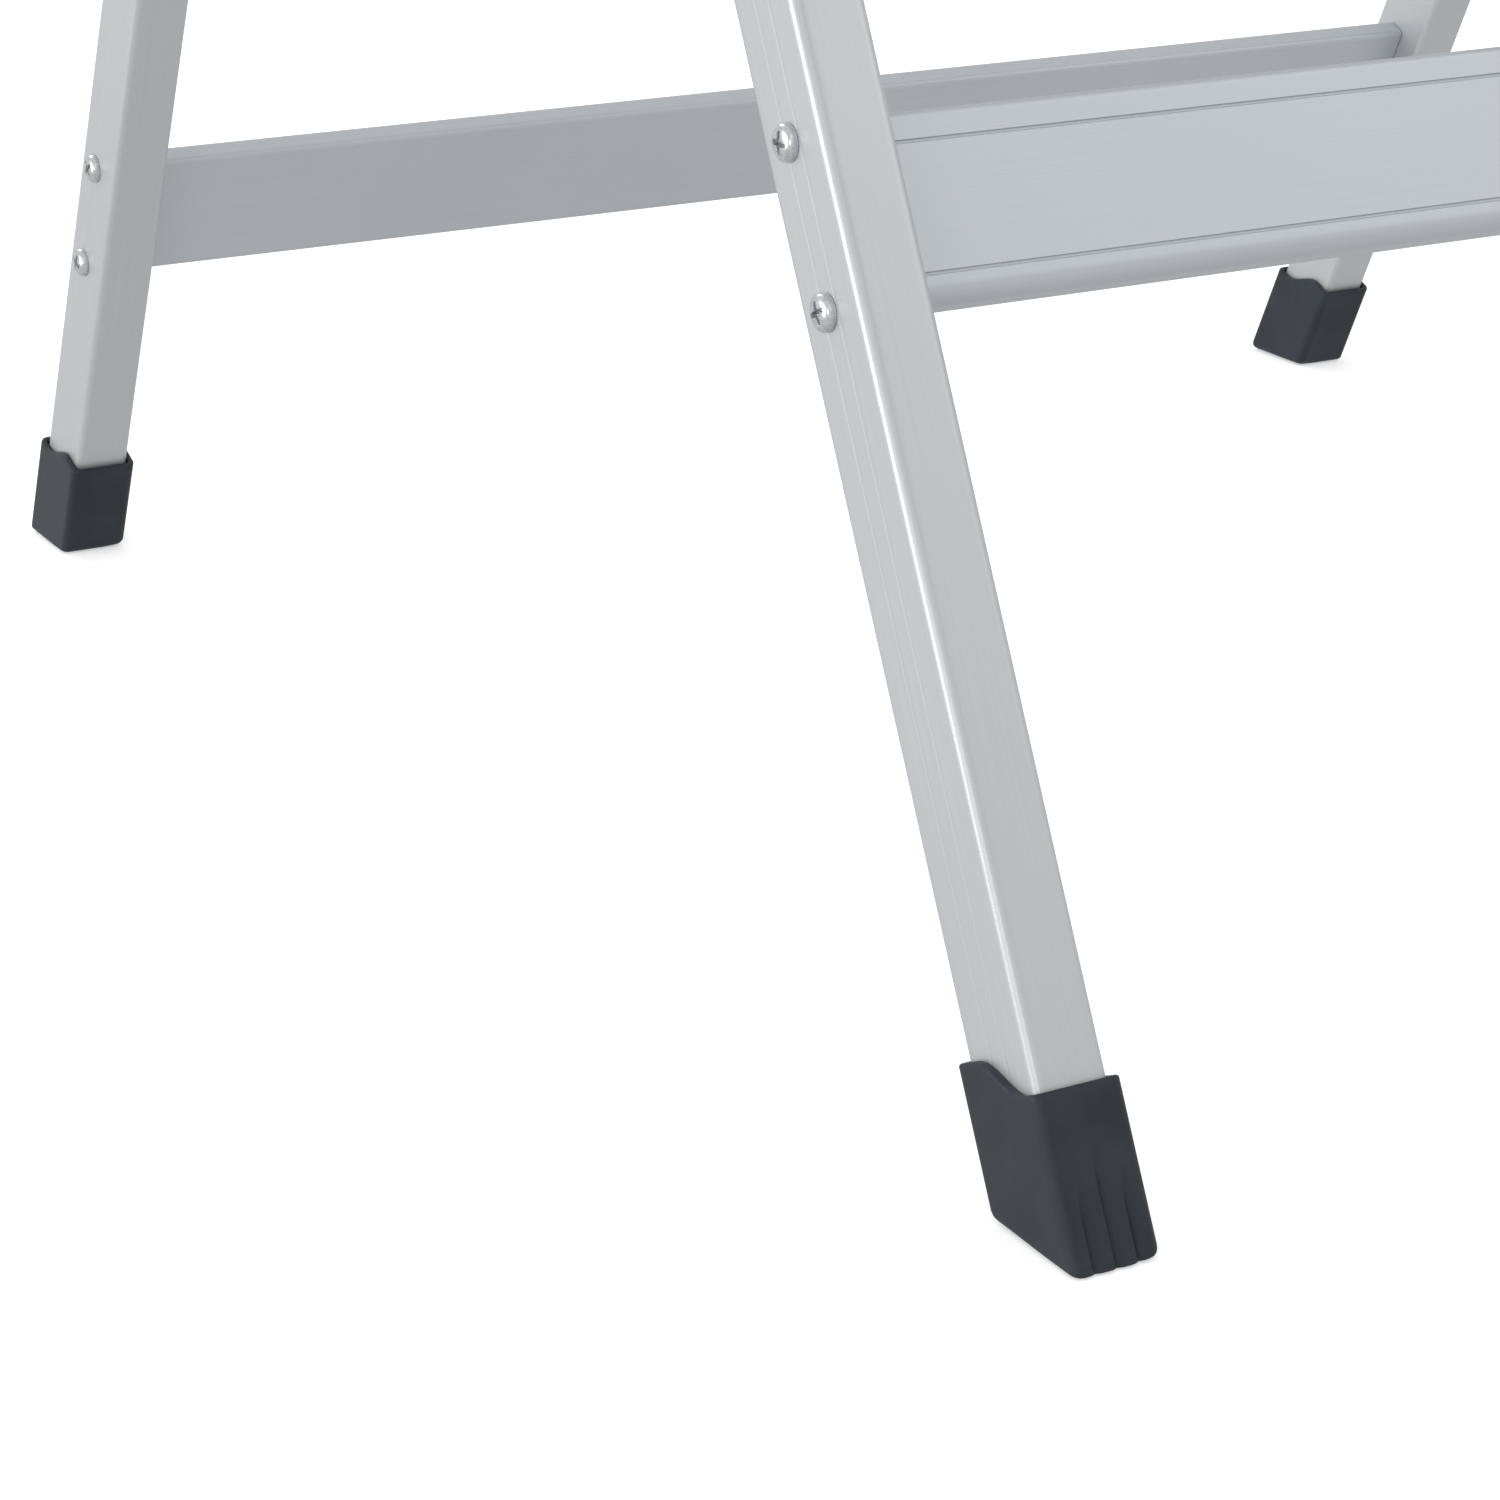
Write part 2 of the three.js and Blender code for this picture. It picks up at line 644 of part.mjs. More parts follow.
// The platform: a hollow extrusion, ribbed on top, drilled for the flange screws.
function platform(half) {
  const y0 = PLATFORM_Y - PLATFORM_DEPTH / 2;
  const y1 = PLATFORM_Y + PLATFORM_DEPTH / 2;
  const z0 = PLATFORM_Z;
  const z1 = PLATFORM_Z + PLATFORM_THICK;
  const r = PLATFORM_CORNER;
  const shape = new THREE.Shape();
  shape.moveTo(y0 + r, z0);
  shape.lineTo(y1 - r, z0);
  shape.absarc(y1 - r, z0 + r, r, -Math.PI / 2, 0, false);
  shape.lineTo(y1, z1 - r);
  shape.absarc(y1 - r, z1 - r, r, 0, Math.PI / 2, false);
  const pitch = (PLATFORM_DEPTH - 2 * r) / PLATFORM_RIBS;
  for (let i = 0; i < PLATFORM_RIBS; i += 1) {
    const y = y1 - r - i * pitch;
    shape.lineTo(y - 0.55 * pitch, z1);
    shape.lineTo(y - 0.65 * pitch, z1 - RIB_DEPTH);
    shape.lineTo(y - 0.9 * pitch, z1 - RIB_DEPTH);
    shape.lineTo(y - pitch, z1);
  }
  shape.absarc(y0 + r, z1 - r, r, Math.PI / 2, Math.PI, false);
  shape.lineTo(y0, z0 + r);
  shape.absarc(y0 + r, z0 + r, r, Math.PI, 1.5 * Math.PI, false);
  const width = (PLATFORM_DEPTH - 2 * PLATFORM_WALL) / PLATFORM_CELLS;
  for (let i = 0; i < PLATFORM_CELLS; i += 1) {
    const a = y0 + PLATFORM_WALL + i * width + PLATFORM_WALL / 2;
    const cell = new THREE.Path();
    const top = z1 - PLATFORM_WALL - RIB_DEPTH;
    roundedRect(cell, a, z0 + PLATFORM_WALL, a + width - PLATFORM_WALL, top, CELL_ROUND);
    shape.holes.push(cell);
  }
  let body = solid(acrossX(prism(shape, 2 * half), 2 * half));
  for (const [, side] of sides()) {
    for (const y of flangeScrewYs()) {
      const radius = SCREW_SHANK_R + HOLE_PLAY;
      const hole = new THREE.CylinderGeometry(radius, radius, 8, 16);
      hole.rotateX(Math.PI / 2);
      hole.translate(flangeScrewX(side), y, z0);
      body = body.subtract(solid(hole));
    }
  }
  return surface(body);
}

function platformCap(side, half) {
  const y0 = PLATFORM_Y - PLATFORM_DEPTH / 2;
  const y1 = PLATFORM_Y + PLATFORM_DEPTH / 2;
  const z1 = PLATFORM_Z + PLATFORM_THICK;
  const shape = roundedRect(new THREE.Shape(), y0, PLATFORM_Z, y1, z1, PLATFORM_CORNER);
  return acrossX(prism(shape, CAP_THICK), CAP_THICK, side * (half + FIT + CAP_THICK / 2));
}

// A flat stay from its pivot at ya to a hook over the stud at yb, its slot opening down and forward.
function stayBar(x, ya, yb) {
  const r = STAY_WIDTH / 2;
  const end = yb + STAY_HOOK;
  const shape = new THREE.Shape();
  shape.moveTo(ya, STAY_Z - r);
  shape.lineTo(end - r, STAY_Z - r);
  shape.absarc(end - r, STAY_Z, r, -Math.PI / 2, Math.PI / 2, false);
  shape.lineTo(ya, STAY_Z + r);
  shape.absarc(ya, STAY_Z, r, Math.PI / 2, 1.5 * Math.PI, false);
  const slotR = STUD_R + STUD_PLAY;
  const slot = box(-slotR, slotR, -3 * r, 0, -STAY_THICK, STAY_THICK);
  slot.rotateZ(-STAY_SLOT_TILT);
  slot.translate(yb, STAY_Z, STAY_THICK / 2);
  const flat = surface(solid(prism(shape, STAY_THICK, 8)).subtract(solid(slot)));
  const bar = solid(acrossX(flat, STAY_THICK, x));
  const hooked = drill(bar, slotR, x - STAY_THICK, x + STAY_THICK, yb, STAY_Z);
  return surface(drill(hooked, STUD_R + HOLE_PLAY, x - STAY_THICK, x + STAY_THICK, ya, STAY_Z));
}

function stays() {
  const group = new THREE.Group();
  const front = stayPivot(true);
  const rear = stayPivot(false);
  const barX = INNER - STAY_GAP - STAY_THICK / 2;
  const face = barX - STAY_THICK / 2;
  for (const [label, side] of sides()) {
    piece(group, `stay_${label}`, stayBar(side * barX, front.y, rear.y), alloy);
    piece(group, `stay_rivet_${label}`, collared(side, face, INNER, HALF, front.y), zinc);
    const rearFace = INNER + REAR_INSET;
    const stud = collared(side, face, rearFace, HALF - REAR_INSET, rear.y);
    piece(group, `stay_stud_${label}`, stud, zinc);
  }
  return group;
}

const ladder = new THREE.Group();
ladder.name = "folding_ladder";
ladder.add(frontFrame(), rearFrame(), topAssembly(), stays());
ladder.updateMatrixWorld(true);
const limits = new THREE.Box3().setFromObject(ladder, true);
ladder.position.y = -(limits.min.y + limits.max.y) / 2;
ladder.position.z = -limits.min.z;
ladder.updateMatrixWorld(true);

export default ladder;
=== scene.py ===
# %% [markdown]
# # A folding A-frame ladder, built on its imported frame
#
# The ladder is a wide pair of leaning frames. The front frame carries two flat rungs and a ribbed
# platform, the rear frame carries two flat braces, and both stand on moulded feet.
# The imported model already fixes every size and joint. This script adds the surfaces:
# drawn aluminium tube with softened corners, grooved flat bars, fluted feet and recessed screws.
# A part like this could be sculpted by hand, but every piece is a regular section or a turned
# form, so each is worked out as a formula on a grid of two parameters.

# %% Load the frame
import math

import bmesh
import bpy
import numpy as np
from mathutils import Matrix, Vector


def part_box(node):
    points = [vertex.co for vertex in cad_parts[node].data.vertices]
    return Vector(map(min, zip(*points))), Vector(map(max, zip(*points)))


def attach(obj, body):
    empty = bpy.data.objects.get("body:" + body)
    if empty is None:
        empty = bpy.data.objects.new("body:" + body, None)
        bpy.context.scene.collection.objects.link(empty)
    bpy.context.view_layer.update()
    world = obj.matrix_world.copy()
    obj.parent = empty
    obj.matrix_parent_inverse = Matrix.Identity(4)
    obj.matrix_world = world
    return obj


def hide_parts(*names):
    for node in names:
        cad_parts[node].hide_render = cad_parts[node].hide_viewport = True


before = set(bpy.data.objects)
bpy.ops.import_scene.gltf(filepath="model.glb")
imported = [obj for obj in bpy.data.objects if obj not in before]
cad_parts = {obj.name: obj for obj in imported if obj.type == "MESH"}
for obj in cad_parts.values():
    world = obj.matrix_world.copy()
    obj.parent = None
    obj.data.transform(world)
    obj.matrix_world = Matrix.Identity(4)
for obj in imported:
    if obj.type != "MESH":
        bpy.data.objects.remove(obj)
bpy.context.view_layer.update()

# %% [markdown]
# ## The two leaning frames
#
# Every drawn piece lies along a leaning frame, so it is simplest to work in that frame's own
# axes: across, inward (square to the frame's face) and up the stile. The two leans are the
# ladder's own angles, and the boxes of the stiles say where each frame meets the floor.

# %% Stock sizes in metres, and the frames' axes
MM = 0.001
STILE_DEPTH = 36 * MM
STILE_CORNER = 3.2 * MM
STILE_WALL = 1.8 * MM
RUNG_HEIGHT = 59.5 * MM
BRACE_HEIGHT = 57 * MM
RUNG_THICK = 16 * MM
BRACE_THICK = 11 * MM
RUNG_MID = 20.5 * MM
BRACE_MID = -15.5 * MM
PLATFORM_CORNER = 6 * MM
FRONT_LEAN = math.radians(25.8)
REAR_LEAN = math.radians(25.0)
SIDES = ("left", "right")


def corners(node):
    """The low and high corners of a node's box."""
    low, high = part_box(node)
    return np.array(low), np.array(high)


def reach(low, high):
    """The side (-1 left, 1 right), then the box's least and greatest distance from X = 0."""
    side = -1 if high[0] < 0 else 1
    inner, outer = sorted((abs(low[0]), abs(high[0])))
    return side, inner, outer


def leaning_frame(lean, ground_y):
    """Axes of a leaning frame: across = +X, up = (0, sin lean, cos lean), inward = up x across."""
    up = np.array([0.0, math.sin(lean), math.cos(lean)])
    across = np.array([1.0, 0.0, 0.0])
    axes = np.stack([across, np.cross(up, across), up])
    return {"origin": np.array([0.0, ground_y, 0.0]), "axes": axes, "lean": lean}


def place(points, where):
    """Local (across, inward, up) points in the ladder's frame: origin + points @ axes."""
    return where["origin"] + points @ where["axes"]


def local(point, where):
    """The reverse of place: (point - origin) @ axes transposed."""
    return (np.asarray(point) - where["origin"]) @ where["axes"].T


low, high = corners("stile_front_left")
FRONT_TOP = high[2] / math.cos(FRONT_LEAN)
front_ground = high[1] - FRONT_TOP * math.sin(FRONT_LEAN) - STILE_DEPTH * math.cos(FRONT_LEAN)
front = leaning_frame(FRONT_LEAN, front_ground)
low, high = corners("stile_rear_left")
REAR_TOP = high[2] / math.cos(REAR_LEAN)
rear_ground = low[1] + REAR_TOP * math.sin(REAR_LEAN) + STILE_DEPTH * math.cos(REAR_LEAN)
rear = leaning_frame(-REAR_LEAN, rear_ground)
print("floor lines: front %.4f m, rear %.4f m" % (front_ground, rear_ground))

# %% [markdown]
# ## From a grid to a piece
#
# A surface is a grid of points, rows by columns. The columns always close, which joins a section
# to itself, and closing the rows joins a tube's outer wall to its inner wall. A drawn piece's
# grid also gets a UV map in metres, along the section and along the length, so that its finish
# can follow the metal.
# Boolean modelling could give the same solids, but it leaves uneven faces that shade badly.

# %% Mesh helpers


def grid_faces(rows, columns, close_rows=False):
    """Quads between neighbouring grid points; index = row * columns + column, columns closed."""
    row = np.arange(rows if close_rows else rows - 1)
    r, c = np.meshgrid(row, np.arange(columns), indexing="ij")
    here = r * columns
    ahead = (r + 1) % rows * columns
    c1 = (c + 1) % columns
    return np.stack([here + c, here + c1, ahead + c1, ahead + c], axis=-1).reshape(-1, 4)


def tidy(mesh, sharp):
    """Merge doubled points at seams and poles, turn every face outwards and keep true edges crisp."""
    work = bmesh.new()
    work.from_mesh(mesh)
    bmesh.ops.remove_doubles(work, verts=work.verts, dist=1e-6)
    bmesh.ops.dissolve_degenerate(work, edges=work.edges, dist=1e-7)
    bmesh.ops.recalc_face_normals(work, faces=work.faces)
    work.to_mesh(mesh)
    work.free()
    mesh.shade_smooth()
    mesh.set_sharp_from_angle(angle=math.radians(sharp))


def make_piece(name, points, faces, uv=None, sharp=40):
    """A mesh object at the origin, from a grid of points, quads and an optional UV of each point."""
    mesh = bpy.data.meshes.new(name)
    mesh.from_pydata(points.reshape(-1, 3).tolist(), [], faces.tolist())
    if uv is not None:
        layer = mesh.uv_layers.new(name="metres")
        index = np.empty(len(mesh.loops), np.int32)
        mesh.loops.foreach_get("vertex_index", index)
        layer.data.foreach_set("uv", uv.reshape(-1, 2)[index].astype(np.float32).ravel())
    tidy(mesh, sharp)
    piece = bpy.data.objects.new(name, mesh)
    bpy.context.scene.collection.objects.link(piece)
    return piece


def finish_piece(piece, material, body, nodes):
    """Give the piece its finish, let it ride on its body and stand for its nodes."""
    piece.data.materials.clear()
    piece.data.materials.append(material)
    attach(piece, body)
    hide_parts(*nodes)


# %% [markdown]
# ## Finishes
#
# The stiles and bars are satin drawn aluminium. Up close it is never plain grey: the die leaves
# fine lines along the length, and handling leaves soft patches where the gloss changes.
# The lines are noise stretched along the UV map's length, so they turn with each leaning tube.
# The patches come from a broad noise on Object coordinates. An image could carry both, but a
# node pattern stays sharp at any distance.

# %% Aluminium finishes


def new_material(name, colour, metallic, roughness):
    """A plain principled material, with its node tree and its shader."""
    material = bpy.data.materials.new(name)
    material.use_nodes = True
    shader = material.node_tree.nodes["Principled BSDF"]
    shader.inputs["Base Color"].default_value = (*colour, 1.0)
    shader.inputs["Metallic"].default_value = metallic
    shader.inputs["Roughness"].default_value = roughness
    return material, material.node_tree, shader


def noise(tree, source, scale, detail, stretch=(1, 1, 1)):
    """A noise read from source coordinates, which stretch multiplies axis by axis first."""
    mapping = tree.nodes.new("ShaderNodeMapping")
    mapping.inputs["Scale"].default_value = stretch
    tree.links.new(source, mapping.inputs["Vector"])
    node = tree.nodes.new("ShaderNodeTexNoise")
    node.inputs["Scale"].default_value = scale
    node.inputs["Detail"].default_value = detail
    tree.links.new(mapping.outputs["Vector"], node.inputs["Vector"])
    return node.outputs["Fac"]


def ramp(tree, value, low, high, dark, light):
    """Map value from low..high to a blend of two colours."""
    node = tree.nodes.new("ShaderNodeValToRGB")
    node.color_ramp.elements[0].position = low
    node.color_ramp.elements[1].position = high
    node.color_ramp.elements[0].color = (*dark, 1.0)
    node.color_ramp.elements[1].color = (*light, 1.0)
    tree.links.new(value, node.inputs["Fac"])
    return node.outputs["Color"]


def spread(tree, value, low, high):
    """Map a 0..1 noise to the range low..high."""
    node = tree.nodes.new("ShaderNodeMapRange")
    node.inputs["To Min"].default_value = low
    node.inputs["To Max"].default_value = high
    tree.links.new(value, node.inputs["Value"])
    return node.outputs["Result"]


def bump(tree, shader, height, distance, strength):
    """Raise the surface's shading by the height, up to distance in metres."""
    node = tree.nodes.new("ShaderNodeBump")
    node.inputs["Distance"].default_value = distance
    node.inputs["Strength"].default_value = strength
    tree.links.new(height, node.inputs["Height"])
    tree.links.new(node.outputs["Normal"], shader.inputs["Normal"])


def drawn_aluminium(name, dark, light, roughness):
    """Satin extruded metal: die lines along the length, broad cloudy handling in tone and gloss."""
    material, tree, shader = new_material(name, light, 0.55, roughness)
    coords = tree.nodes.new("ShaderNodeTexCoord")
    lines = noise(tree, coords.outputs["UV"], 1.0, 4, (2600, 9, 1))
    patches = noise(tree, coords.outputs["Object"], 9.0, 3)
    mixed = tree.nodes.new("ShaderNodeMix")
    mixed.inputs["Factor"].default_value = 0.45
    tree.links.new(lines, mixed.inputs["A"])
    tree.links.new(patches, mixed.inputs["B"])
    colour = ramp(tree, mixed.outputs["Result"], 0.3, 0.7, dark, light)
    tree.links.new(colour, shader.inputs["Base Color"])
    gloss = spread(tree, mixed.outputs["Result"], roughness - 0.07, roughness + 0.07)
    tree.links.new(gloss, shader.inputs["Roughness"])
    bump(tree, shader, lines, 0.03 * MM, 0.15)
    return material


stile_metal = drawn_aluminium("stile_aluminium", (0.545, 0.57, 0.588), (0.60, 0.627, 0.647), 0.42)
bar_metal = drawn_aluminium("bar_aluminium", (0.535, 0.567, 0.60), (0.59, 0.622, 0.66), 0.46)
print("drawn finishes:", stile_metal.name, bar_metal.name)

# %% [markdown]
# The hinge plates and stays are pressed from sheet and tumbled, so their marks run every way.
# The screws are zinc plated steel, brighter and glassier, with a faint crystal mottle.
# The feet are a dark slate moulding with a fine spark-eroded grain and paler scuffs.

# %% Pressed metal, zinc and moulded finishes


def tumbled_plate(name):
    """Pressed sheet after tumbling: fine scratches in two directions over a cloudy base."""
    material, tree, shader = new_material(name, (0.57, 0.58, 0.6), 0.7, 0.42)
    coords = tree.nodes.new("ShaderNodeTexCoord").outputs["Object"]
    clouds = noise(tree, coords, 40.0, 5)
    scratches = noise(tree, coords, 1.0, 4, (300, 900, 2400))
    tone = ramp(tree, clouds, 0.3, 0.7, (0.47, 0.48, 0.5), (0.6, 0.61, 0.63))
    tree.links.new(tone, shader.inputs["Base Color"])
    tree.links.new(spread(tree, scratches, 0.32, 0.52), shader.inputs["Roughness"])
    bump(tree, shader, scratches, 0.05 * MM, 0.4)
    return material


def zinc_plate(name):
    """Bright zinc: cell-like crystals set the tone, with a low roughness that wanders a little."""
    material, tree, shader = new_material(name, (0.62, 0.64, 0.66), 0.95, 0.26)
    coords = tree.nodes.new("ShaderNodeTexCoord").outputs["Object"]
    cells = tree.nodes.new("ShaderNodeTexVoronoi")
    cells.inputs["Scale"].default_value = 900.0
    tree.links.new(coords, cells.inputs["Vector"])
    tone = ramp(tree, cells.outputs["Distance"], 0.0, 0.8, (0.52, 0.54, 0.56), (0.7, 0.72, 0.74))
    tree.links.new(tone, shader.inputs["Base Color"])
    gloss = spread(tree, noise(tree, coords, 260.0, 3), 0.2, 0.36)
    tree.links.new(gloss, shader.inputs["Roughness"])
    return material


def slate_moulding(name):
    """Dark satin plastic: a grain of 0.3 mm for the bump, and scuffs that lighten the colour."""
    material, tree, shader = new_material(name, (0.05, 0.065, 0.075), 0.0, 0.5)
    coords = tree.nodes.new("ShaderNodeTexCoord").outputs["Object"]
    grain = noise(tree, coords, 2800.0, 2)
    scuffs = noise(tree, coords, 55.0, 6)
    tone = ramp(tree, scuffs, 0.35, 0.75, (0.019, 0.026, 0.036), (0.031, 0.040, 0.052))
    tree.links.new(tone, shader.inputs["Base Color"])
    tree.links.new(spread(tree, scuffs, 0.42, 0.6), shader.inputs["Roughness"])
    shader.inputs["Specular IOR Level"].default_value = 0.3
    bump(tree, shader, grain, 0.06 * MM, 0.5)
    return material


plate_metal = tumbled_plate("pressed_plate")
zinc = zinc_plate("zinc_plate")
slate = slate_moulding("slate_moulding")
print("other finishes:", plate_metal.name, zinc.name, slate.name)

# %% [markdown]
# ## Sections
#
# A drawn tube is a rectangle with rounded corners. The corner arcs are cut finely, and a support
# point sits on each flat beside its arc, so that the flats stay flat when the shading is smooth.
# A groove is a shallow U cut into one side of the outline.

# %% Rounded rectangle and grooves
TUBE_STATIONS = 3


def corner_arc(cx, cy, r, start, count=7):
    """Points of a quarter circle: centre + r (cos a, sin a) for a from start to start + 90 degrees."""
    angle = np.linspace(start, start + math.pi / 2, count)
    return np.stack([cx + r * np.cos(angle), cy + r * np.sin(angle)], axis=-1)


def groove_points(at, depth, width):
    """(along, cut) pairs of a rounded U, 0 at its two lips, with a support point outside each lip."""
    t = np.concatenate([[-1.6], np.linspace(-1, 1, 7), [1.6]])
    cut = depth * np.clip(1 - t**2, 0, 1) ** 0.35
    return np.stack([at + t * width / 2, cut], axis=-1)


def flat_side(start, end, cuts, fixed, inward, along_x):
    """A flat side from start to end at the fixed coordinate, cut inward by each groove on the way."""
    marks = [groove_points(*cut) for cut in sorted(cuts, key=lambda cut: cut[0])]
    line = np.concatenate([np.empty((0, 2)), *marks])
    if start > end:
        line = line[::-1]
    line = np.concatenate([[[start, 0.0]], line, [[end, 0.0]]])
    depth = fixed + inward * line[:, 1]
    return np.stack([line[:, 0], depth] if along_x else [depth, line[:, 0]], axis=-1)


def section(x0, y0, x1, y1, r, left=(), right=(), top=(), nose=None):
    """A closed outline, counterclockwise from the bottom side.

    A side lists its grooves as (place, depth, width). r rounds the corners, and nose, where given,
    rounds the low corner (x0, y0) instead. s is how far each support point stands off its arc.
    """
    n = nose or r
    s = 0.35 * r
    return np.concatenate([
        flat_side(x0 + n + s, x1 - r - s, (), y0, 1, True),
        corner_arc(x1 - r, y0 + r, r, -math.pi / 2),
        flat_side(y0 + r + s, y1 - r - s, right, x1, -1, False),
        corner_arc(x1 - r, y1 - r, r, 0),
        flat_side(x1 - r - s, x0 + r + s, top, y1, -1, True),
        corner_arc(x0 + r, y1 - r, r, math.pi / 2),
        flat_side(y1 - r - s, y0 + n + s, left, x0, 1, False),
        corner_arc(x0 + n, y0 + n, n, math.pi, 12 if nose else 7),
    ])


def inner_section(outline, wall):
    """The outline moved in by the wall: each point goes along its averaged inward normal."""
    ahead = np.roll(outline, -1, axis=0) - outline
    behind = outline - np.roll(outline, 1, axis=0)
    tangent = ahead / np.linalg.norm(ahead, axis=1, keepdims=True)
    tangent += behind / np.linalg.norm(behind, axis=1, keepdims=True)
    tangent /= np.linalg.norm(tangent, axis=1, keepdims=True)
    return outline + wall * np.stack([-tangent[:, 1], tangent[:, 0]], axis=-1)


def tube(outline, wall, start, end):
    """A hollow tube: the outline at each station out, then the inner outline at each station back.

    Returns (rows, columns, 3) points as (section x, section y, along), and a UV map in metres.
    """
    out = np.linspace(start, end, TUBE_STATIONS)
    along = np.concatenate([out, out[::-1]])
    rings = [outline] * TUBE_STATIONS + [inner_section(outline, wall)] * TUBE_STATIONS
    rows = np.stack(rings)
    depth = np.repeat(along[:, None], len(outline), axis=1)
    points = np.concatenate([rows, depth[..., None]], axis=-1)
    steps = np.linalg.norm(np.roll(outline, -1, axis=0) - outline, axis=1)
    round_it = np.concatenate([[0], np.cumsum(steps)[:-1]])
    uv = np.stack([np.repeat(round_it[None], len(along), axis=0), depth], axis=-1)
    return points, uv


plain = section(0, 0, 25 * MM, STILE_DEPTH, STILE_CORNER)
print("section helpers ready; a plain stile outline has", len(plain), "points")

# %% [markdown]
# ## Stiles
#
# Each stile is one length of rectangular tube. On its outer side the die leaves two fine lines,
# one on each side of the middle, which catch the light as faint threads down the whole leg.
# The lines are cut into the outline itself, because a bump alone fades at a low angle.

# %% Stiles
LINE_OFFSET = 4 * MM
LINE_CUT = (0.05 * MM, 1.2 * MM)


def build_stile(name, where, body):
    """Carry the stile's outline up its frame: x across, y inward, z along."""
    low, high = corners(name)
    y0, y1 = (0.0, STILE_DEPTH) if where is front else (-STILE_DEPTH, 0.0)
    mid = (y0 + y1) / 2
    lines = [(mid - LINE_OFFSET, *LINE_CUT), (mid + LINE_OFFSET, *LINE_CUT)]
    sides = {"left": lines} if low[0] < 0 else {"right": lines}
    outline = section(low[0], y0, high[0], y1, STILE_CORNER, **sides)
    start = low[2] / math.cos(where["lean"]) + STILE_DEPTH * math.tan(abs(where["lean"]))
    end = FRONT_TOP if where is front else REAR_TOP
    points, uv = tube(outline, STILE_WALL, start, end)
    piece = make_piece(name + "_drawn", place(points, where), grid_faces(*points.shape[:2], True), uv)
    finish_piece(piece, stile_metal, body, [name])


for label in SIDES:
    build_stile("stile_front_" + label, front, "front_frame")
    build_stile("stile_rear_" + label, rear, "rear_frame")
print("stiles drawn:", 4)

# %% [markdown]
# ## Rungs and braces
#
# A rung is a flat hollow bar that lies in the plane of its frame. Its face has a groove near
# each edge, which stiffens the wall and gives the shoe some grip. A brace is the plain version.
# The outline lies in (inward, up), and is carried across the ladder.

# %% Rungs and braces
RUNG_GROOVES = (9.4 * MM, RUNG_HEIGHT - 9.6 * MM)
RUNG_NOSE = 6 * MM
BAR_CORNER = 2.2 * MM
BAR_WALL = 1.6 * MM
GROOVE_CUT = (0.8 * MM, 1.3 * MM)


def build_bar(name, where, body, mid, height, thick, grooves, nose):
    """Carry the bar's outline across: x along the ladder, y inward about mid, z up the stile."""
    low, high = corners(name)
    z = local((low + high) / 2, where)[2]
    t, h = thick / 2, height / 2
    cuts = [(z - h + up, *GROOVE_CUT) for up in grooves]
    outline = section(mid - t, z - h, mid + t, z + h, BAR_CORNER, left=cuts, nose=nose)
    points, uv = tube(outline, BAR_WALL, low[0], high[0])
    points = points[..., [2, 0, 1]]
    piece = make_piece(name + "_drawn", place(points, where), grid_faces(*points.shape[:2], True), uv)
    finish_piece(piece, bar_metal, body, [name])


rung = (RUNG_MID, RUNG_HEIGHT, RUNG_THICK, RUNG_GROOVES, RUNG_NOSE)
brace = (BRACE_MID, BRACE_HEIGHT, BRACE_THICK, (), None)
for label in ("lower", "upper"):
    build_bar("rung_" + label, front, "front_frame", *rung)
    build_bar("brace_" + label, rear, "rear_frame", *brace)
print("bars drawn:", 4)

# %% [markdown]
# ## Feet
#
# A foot is a moulded boot pushed over the stile's end. It is cut level at the floor, and its rim
# steps up in an S from the frame's outward face to the face that looks at the other frame.
# The sole is rolled up at its edge, most at the rear and on the side towards the ladder's middle,
# and three narrow flutes run down the outward face. The boot is one surface: rings grow out
# across the sole, climb the wall, turn over the rim and go down inside. A boolean of boxes would
# give hard, even corners.

# %% Feet
FOOT_WALL = 2.9 * MM
FOOT_HEIGHT = 53.5 * MM
FOOT_RISE = 12 * MM
FOOT_CORNER = 3.6 * MM
RIM_START = 4 * MM
RIM_END = 28 * MM
FLUTE_DEPTH = 1.4 * MM
SOCKET_DEPTH = 14 * MM
SOLE_ROLL = 1.8 * MM
HEEL_ROLL = 1.7 * MM
INBOARD_ROLL = 2.0 * MM
FOOT_POINTS = 320
WALL_ROWS = 21
LIP = ((0.0, 0.8), (0.25, 0.25), (0.8, 0.0), (1.9, 0.0), (2.4, 0.3), (2.55, 0.9))


def resample(outline, count):
    """The same closed outline with count points equally spaced along it."""
    closed = np.concatenate([outline, outline[:1]])
    steps = np.linalg.norm(np.diff(closed, axis=0), axis=1)
    run = np.concatenate([[0], np.cumsum(steps)])
    at = np.linspace(0, run[-1], count, endpoint=False)
    return np.stack([np.interp(at, run, closed[:, 0]), np.interp(at, run, closed[:, 1])], axis=-1)


def smooth(t):
    """0 below 0, 1 above 1, and 3t^2 - 2t^3 between."""
    t = np.clip(t, 0, 1)
    return t * t * (3 - 2 * t)


def rim_height(depth):
    """FOOT_HEIGHT + FOOT_RISE (1 - cos(pi t)) / 2, where t is the share of the way up the S."""
    t = np.clip((depth - RIM_START) / (RIM_END - RIM_START), 0, 1)
    return FOOT_HEIGHT + FOOT_RISE * (0.5 - 0.5 * np.cos(math.pi * t))


def flute_pattern(across, share):
    """Three grooves, exp(-(distance / width)^2) each; the middle one reaches higher up the wall."""
    total = np.zeros_like(across)
    for at, reach in ((-0.5, 0.55), (0.0, 0.75), (0.5, 0.55)):
        total += np.exp(-(((across - at) / 0.07) ** 2)) * smooth((reach - share) / 0.35)
    return total


